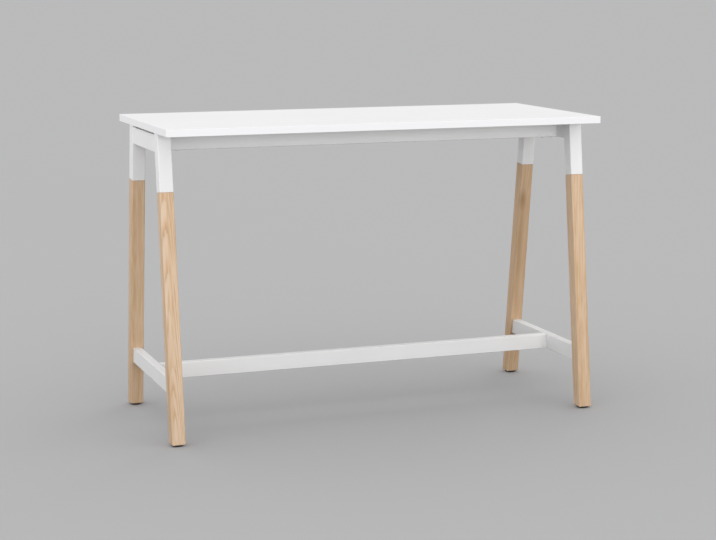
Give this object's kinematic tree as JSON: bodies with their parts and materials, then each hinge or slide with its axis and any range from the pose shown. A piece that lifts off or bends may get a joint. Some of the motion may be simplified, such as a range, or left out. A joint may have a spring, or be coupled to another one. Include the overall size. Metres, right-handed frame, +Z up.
{
  "type": "high table",
  "caption": "Bar-height table: white banded board on splayed timber legs in white steel sockets, with rails, crossbars and a low stretcher, on levelling feet.",
  "frame": {"origin": "centre of the table's footprint, on the floor", "axes": "+X along the table, -Y towards the front, +Z up"},
  "size_m": [1.6, 0.7, 1.08],
  "materials": {
    "white_board": "white melamine faced particle board, satin",
    "white_edge": "white edge strip, satin",
    "white_steel": "white powder coat, fine satin texture",
    "timber": "pale straight-grained hardwood, clear matt lacquer",
    "zinc_steel": "zinc plated",
    "aluminium_block": "as sawn",
    "black_plastic": "moulded, matt"
  },
  "bodies": {
    "table": {"edge_band_back": "white_edge", "edge_band_front": "white_edge", "edge_band_left": "white_edge", "edge_band_right": "white_edge", "foot_inserts": "zinc_steel", "front_rail": "white_steel", "front_rail_brackets": "white_steel", "left_crossbar": "white_steel", "left_front_crossbar_spigot": "aluminium_block", "left_front_leg": "timber", "left_front_leg_socket": "white_steel", "left_front_rail_spigot": "white_steel", "left_front_stop_plate": "white_steel", "left_head_bracket": "white_steel", "left_head_rail": "white_steel", "left_rear_crossbar_spigot": "aluminium_block", "left_rear_leg": "timber", "left_rear_leg_socket": "white_steel", "left_rear_rail_spigot": "white_steel", "left_rear_stop_plate": "white_steel", "left_stretcher_lug": "white_steel", "leg_bolts": "zinc_steel", "leg_inserts": "zinc_steel", "lock_screws": "zinc_steel", "rail_bolts": "zinc_steel", "rear_rail": "white_steel", "rear_rail_brackets": "white_steel", "right_crossbar": "white_steel", "right_front_crossbar_spigot": "aluminium_block", "right_front_leg": "timber", "right_front_leg_socket": "white_steel", "right_front_rail_spigot": "white_steel", "right_front_stop_plate": "white_steel", "right_head_bracket": "white_steel", "right_head_rail": "white_steel", "right_rear_crossbar_spigot": "aluminium_block", "right_rear_leg": "timber", "right_rear_leg_socket": "white_steel", "right_rear_rail_spigot": "white_steel", "right_rear_stop_plate": "white_steel", "right_stretcher_lug": "white_steel", "spigot_screws": "zinc_steel", "stretcher": "white_steel", "stretcher_bolts": "zinc_steel", "stretcher_nuts": "zinc_steel", "top_board": "white_board", "top_screws": "zinc_steel"},
    "left_front_foot": {"left_front_foot_pad": "black_plastic", "left_front_foot_stem": "zinc_steel"},
    "left_rear_foot": {"left_rear_foot_pad": "black_plastic", "left_rear_foot_stem": "zinc_steel"},
    "right_front_foot": {"right_front_foot_pad": "black_plastic", "right_front_foot_stem": "zinc_steel"},
    "right_rear_foot": {"right_rear_foot_pad": "black_plastic", "right_rear_foot_stem": "zinc_steel"}
  },
  "joints": [
    {"name": "left_front_foot_level", "type": "slide", "parent": "table", "child": "left_front_foot", "axis": [0, 0, -1], "range_m": [0, 0.012]},
    {"name": "left_rear_foot_level", "type": "slide", "parent": "table", "child": "left_rear_foot", "axis": [0, 0, -1], "range_m": [0, 0.012]},
    {"name": "right_front_foot_level", "type": "slide", "parent": "table", "child": "right_front_foot", "axis": [0, 0, -1], "range_m": [0, 0.012]},
    {"name": "right_rear_foot_level", "type": "slide", "parent": "table", "child": "right_rear_foot", "axis": [0, 0, -1], "range_m": [0, 0.012]}
  ]
}
